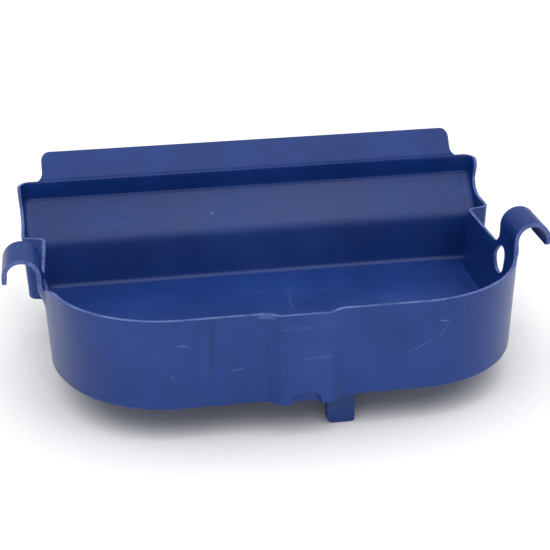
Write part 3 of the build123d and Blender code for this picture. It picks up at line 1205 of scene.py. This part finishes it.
    def wall_tree(self) -> bpy.types.NodeTree:
        """Node tree that gives an open skin its wall and dresses the cut edge.

        Returns:
            The tree, with named inputs for the wall and both materials.
        """
        inputs = {"Skin": "Geometry", "Wall": "Float", "Moulded": "Material", "Trimmed": "Material"}
        tree, given = start_tree("wall from skin", inputs, "Moulding")
        normal = add_node(tree, "GeometryNodeInputNormal").outputs[0]
        factor = add_node(tree, "GeometryNodeInputNamedAttribute", {"data_type": "FLOAT"}, {0: "wall_factor"})
        depth = reckon(tree, "MULTIPLY", given["Wall"], factor.outputs[0])
        behind = reckon(tree, "MULTIPLY", depth, -1.0)
        way = add_node(tree, "ShaderNodeVectorMath", {"operation": "SCALE"}, {0: normal, "Scale": behind})
        stored = add_node(
            tree,
            "GeometryNodeStoreNamedAttribute",
            {"data_type": "FLOAT_VECTOR", "domain": "POINT"},
            {"Geometry": given["Skin"], "Name": "wall_way", "Value": way.outputs[0]},
        )
        doubled = add_node(
            tree,
            "GeometryNodeExtrudeMesh",
            {"mode": "FACES"},
            {"Mesh": stored.outputs[0], "Offset Scale": 0.0, "Individual": False},
        ).outputs
        vector = {"data_type": "FLOAT_VECTOR"}
        far = add_node(tree, "GeometryNodeInputNamedAttribute", vector, {0: "wall_way"})
        shift = {"Geometry": doubled["Mesh"], "Selection": doubled["Top"], "Offset": far.outputs[0]}
        moved = add_node(tree, "GeometryNodeSetPosition", None, shift)
        turned = add_node(tree, "GeometryNodeFlipFaces", None, {"Mesh": moved.outputs[0]})
        joined = add_node(tree, "GeometryNodeJoinGeometry", None, {"Geometry": turned.outputs[0]})
        tree.links.new(given["Skin"], joined.inputs[0])
        weld = {"Geometry": joined.outputs[0], "Distance": self.rim_gap * MM}
        merged = add_node(tree, "GeometryNodeMergeByDistance", None, weld)
        real = add_node(tree, "GeometryNodeRealizeInstances", None, {0: merged.outputs[0]})
        skin = paint(tree, real.outputs[0], given["Moulded"])
        cut = paint(tree, skin, given["Trimmed"], Selection=doubled["Side"])
        add_node(tree, "NodeGroupOutput", None, {0: cut})
        return tree

    def arch(self, name: str, grow: float, front: float, rear: float, low: float) -> bpy.types.Object:
        """Arched block on the trough's middle line, for the foot recess.

        Args:
            name: Name of the object.
            grow: How far it stands outside the recess.
            front: Its front depth.
            rear: Its rear depth.
            low: Height of its underside.

        Returns:
            The block's object.
        """
        half, high = self.recess_half + grow, self.under + self.recess_rise + grow
        arc = corner_arc((half, low), (half, high), (0.0, high), self.recess_radius + grow, 8)
        right = [(half, low), *map(tuple, arc)]
        outline = right + [(-x, z) for x, z in reversed(right)]
        return link_object(name, to_mesh(prism(outline, front, rear), name))

    def cut_recess(self, item: bpy.types.Object, moulded: bpy.types.Material) -> None:
        """Adds the arched recess at the foot of the bulge, with its own wall behind.

        Args:
            item: The moulding's object.
            moulded: The moulding's material.
        """
        outside = self.front - self.bulge_depth
        face = outside + self.recess_depth
        low = self.under + self.backing_lift
        backing = self.arch("recess backing", self.wall, outside + self.backing_inset, face + self.wall, low)
        cutter = self.arch("recess cutter", 0.0, outside - BEYOND, face, self.under - BEYOND)
        for tool, operation in ((backing, "UNION"), (cutter, "DIFFERENCE")):
            tool.data.materials.append(moulded)
            modifier = item.modifiers.new("recess", "BOOLEAN")
            modifier.operation = operation
            modifier.object = tool
            modifier.solver = "EXACT"
        bake(item)
        for tool in (backing, cutter):
            bpy.data.objects.remove(tool)

    def round_rim(self, mesh: bpy.types.Mesh) -> None:
        """Rounds the two long edges of the trimmed rim.

        Args:
            mesh: The moulding's mesh.
        """
        body = bmesh.new()
        body.from_mesh(mesh)
        both = {kind.value for kind in Face}
        edges = [edge for edge in body.edges if {face.material_index for face in edge.link_faces} == both]
        round_edges(body, edges, self.edge_round, 2, 0.6, Face.TRIMMED)
        body.to_mesh(mesh)
        body.free()

    def build(self, moulded: bpy.types.Material, trimmed: bpy.types.Material) -> bpy.types.Object:
        """Makes the moulding.

        Args:
            moulded: Finish of the moulded skin.
            trimmed: Finish of the cut rim.

        Returns:
            The moulding's object.
        """
        item = link_object("trough_moulding", self.skin())
        run_tree(item, self.wall_tree(), {"Wall": self.wall * MM, "Moulded": moulded, "Trimmed": trimmed})
        self.round_rim(item.data)
        self.cut_recess(item, moulded)
        smooth_by_angle(item.data, 38.0)
        for name in ("wall_factor", "wall_way"):
            spare = item.data.attributes.get(name)
            if spare is not None:
                item.data.attributes.remove(spare)
        return item


@dataclass
class TrimBurrs:
    """Tiny curls of plastic that the knife left along the cut rim. Sizes in mm."""

    size: float = 0.5
    per_metre: float = 75.0
    seed: int = 7

    def rim_path(self, moulding: Moulding) -> bpy.types.Mesh:
        """Line along the inner edge of the front rim, from hook to hook.

        Args:
            moulding: The moulding, already built.

        Returns:
            A mesh of edges.
        """
        half = [point for point in moulding.rim_line if abs(point[0]) < moulding.half_length + 5]
        left = [(-x, y, z) for x, y, z in reversed(half)]
        points = [(x * MM, y * MM, z * MM) for x, y, z in left + half[1:]]
        mesh = bpy.data.meshes.new("trim_burrs")
        mesh.from_pydata(points, [(index, index + 1) for index in range(len(points) - 1)], [])
        return mesh

    def tree(self) -> bpy.types.NodeTree:
        """Node tree that scatters uneven burrs along a line.

        Returns:
            The tree, with named inputs for spacing, size, seed and material.
        """
        inputs = {"Rim": "Geometry", "Spacing": "Float", "Size": "Float", "Seed": "Int"}
        tree, given = start_tree("burrs along rim", {**inputs, "Trimmed": "Material"}, "Burrs")
        path = add_node(tree, "GeometryNodeMeshToCurve", None, {0: given["Rim"]})
        steps = {"Curve": path.outputs[0], "Length": given["Spacing"]}
        spread = add_node(tree, "GeometryNodeCurveToPoints", {"mode": "LENGTH"}, steps)
        odds = {"Probability": 0.5, "Seed": given["Seed"]}
        chance = add_node(tree, "FunctionNodeRandomValue", {"data_type": "BOOLEAN"}, odds)
        curl = add_node(tree, "GeometryNodeMeshIcoSphere", None, {"Radius": given["Size"], "Subdivisions": 2})
        turn, stretch = (
            add_node(
                tree,
                "FunctionNodeRandomValue",
                {"data_type": "FLOAT_VECTOR"},
                {0: low, 1: high, "Seed": given["Seed"]},
            )
            for low, high in (((0.0,) * 3, (6.28,) * 3), ((0.4, 0.3, 0.3), (1.6, 0.7, 0.6)))
        )
        scatter = {
            "Points": spread.outputs["Points"],
            "Selection": chance.outputs[3],
            "Instance": curl.outputs["Mesh"],
            "Rotation": turn.outputs[0],
            "Scale": stretch.outputs[0],
        }
        placed = add_node(tree, "GeometryNodeInstanceOnPoints", None, scatter)
        real = add_node(tree, "GeometryNodeRealizeInstances", None, {0: placed.outputs[0]})
        add_node(tree, "NodeGroupOutput", None, {0: paint(tree, real.outputs[0], given["Trimmed"])})
        return tree

    def build(self, moulding: Moulding, trimmed: bpy.types.Material) -> bpy.types.Object:
        """Makes the burrs.

        Args:
            moulding: The moulding, already built.
            trimmed: Finish of the cut rim.

        Returns:
            The burrs' object.
        """
        item = link_object("trim_burrs", self.rim_path(moulding))
        sizes = {"Spacing": 1 / self.per_metre, "Size": self.size * MM, "Seed": self.seed, "Trimmed": trimmed}
        run_tree(item, self.tree(), sizes)
        smooth_by_angle(item.data, 60.0)
        return item


@dataclass
class LocatingTab:
    """The tab that hangs below the front, a little uneven from trimming. Sizes in mm."""

    sink: float = 1.2
    taper: float = 0.6
    left_radius: float = 6.0
    right_radius: float = 2.5
    edge_round: float = 1.0

    def build(self, finish: bpy.types.Material) -> bpy.types.Object:
        """Makes the tab inside its CAD box.

        Args:
            finish: The tab's finish.

        Returns:
            The tab's object.
        """
        low, high = (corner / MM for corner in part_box("locating_lug"))
        top = high.z + self.sink
        left, right = low.x + self.taper, high.x - self.taper
        near_left = corner_arc((low.x, top), (left, low.z), (right, low.z), self.left_radius, 8)
        near_right = corner_arc((left, low.z), (right, low.z), (high.x, top), self.right_radius, 6)
        outline = [(low.x, top), *map(tuple, near_left), *map(tuple, near_right), (high.x, top)]
        body = prism(outline, low.y, high.y)
        rim = [edge for edge in body.edges if edge.calc_face_angle(0.0) > math.radians(60)]
        round_edges(body, rim, self.edge_round, 3, 0.5, Face.MOULDED)
        mesh = to_mesh(body, "locating_tab")
        mesh.materials.append(finish)
        smooth_by_angle(mesh, 35.0)
        return link_object("locating_tab", mesh)


# --------------------------------------------------------------------------------------
# Studio
# --------------------------------------------------------------------------------------


@dataclass
class Studio:
    """Pale floor, soft light and the camera. Sizes in metres."""

    floor_half: float = 6.0
    world: float = 0.42
    sun: float = 2.75
    sun_spread: float = 105.0
    lens: float = 91.64
    sensor: float = 36.0
    shift_y: float = -0.0027
    eye: tuple[float, float, float] = (-0.1829, -1.17565, 0.6013)
    forward: tuple[float, float, float] = (0.1411, 0.9041, -0.4034)
    upward: tuple[float, float, float] = (0.0745, 0.3966, 0.9150)

    def build_floor(self) -> bpy.types.Object:
        """Makes the paper floor at the model's foot.

        Returns:
            The floor's object.
        """
        body = bmesh.new()
        bmesh.ops.create_grid(body, x_segments=8, y_segments=8, size=self.floor_half)
        mesh = to_mesh(body, "studio_floor")
        mesh.materials.append(PaperFinish().build())
        floor = link_object("studio_floor", mesh)
        return floor

    def add_lamp(
        self, name: str, place: Sequence[float], aim: Sequence[float], size: tuple[float, float], power: float
    ) -> None:
        """Adds a soft rectangular lamp.

        Args:
            name: The lamp's name.
            place: Where it stands.
            aim: The point it looks at.
            size: Its two sides.
            power: Its power in watts.
        """
        data = bpy.data.lights.new(name, "AREA")
        data.shape = "RECTANGLE"
        data.size, data.size_y = size
        data.energy = power
        lamp = link_object(name, data)
        way = Vector(aim) - Vector(place)
        lamp.matrix_world = Matrix.Translation(place) @ way.to_track_quat("-Z", "Y").to_matrix().to_4x4()

    def build_light(self) -> None:
        """Makes the even white surround and the lamps."""
        world = bpy.data.worlds.new("studio")
        world.use_nodes = True
        surround = world.node_tree.nodes["Background"]
        surround.inputs["Color"].default_value = linear("#ffffff")
        surround.inputs["Strength"].default_value = self.world
        bpy.context.scene.world = world
        data = bpy.data.lights.new("overhead_silk", "SUN")
        data.energy = self.sun
        data.angle = math.radians(self.sun_spread)
        link_object("overhead_silk", data)
        self.add_lamp("top_box", (0.24, -0.35, 1.5), (0.0, 0.1, 0.1), (0.35, 0.35), 1.1)
        self.add_lamp("front_strip", (-0.25, -2.4, 0.25), (0.0, 0.0, 0.06), (2.4, 0.45), 21.0)

    def build_camera(self) -> None:
        """Places the camera, looking down a little from the left of the middle."""
        data = bpy.data.cameras.new("studio_camera")
        data.lens = self.lens
        data.sensor_width = self.sensor
        data.shift_y = self.shift_y
        camera = link_object("studio_camera", data)
        back = -Vector(self.forward).normalized()
        right = Vector(self.upward).cross(back).normalized()
        up = back.cross(right)
        turn = Matrix((right, up, back)).transposed().to_4x4()
        camera.matrix_world = Matrix.Translation(self.eye) @ turn
        bpy.context.scene.camera = camera


def main() -> None:
    """Builds the studio and the trough in order, and reports each piece."""
    logging.basicConfig(level=logging.INFO, format="%(name)s %(message)s")
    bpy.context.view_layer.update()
    bpy.context.scene.view_settings.view_transform = "Standard"
    studio = Studio()
    studio.build_floor()
    studio.build_light()
    studio.build_camera()

    moulded = MouldedFinish(marks=WEAR_AND_SINK_SHADE).build()
    trimmed = TrimmedFinish().build()
    moulding = Moulding()
    shell = moulding.build(moulded, trimmed)
    present(shell)
    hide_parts(*[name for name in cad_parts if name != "locating_lug"])

    burrs = TrimBurrs().build(moulding, trimmed)
    present(burrs)

    tab_finish = MouldedFinish(
        name="dull moulded polyethylene",
        base="#122d64",
        deep="#0f285c",
        pale="#17336c",
        roughness=0.5,
    ).build()
    tab = LocatingTab().build(tab_finish)
    present(tab)
    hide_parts("locating_lug")


if __name__ == "__main__":
    main()
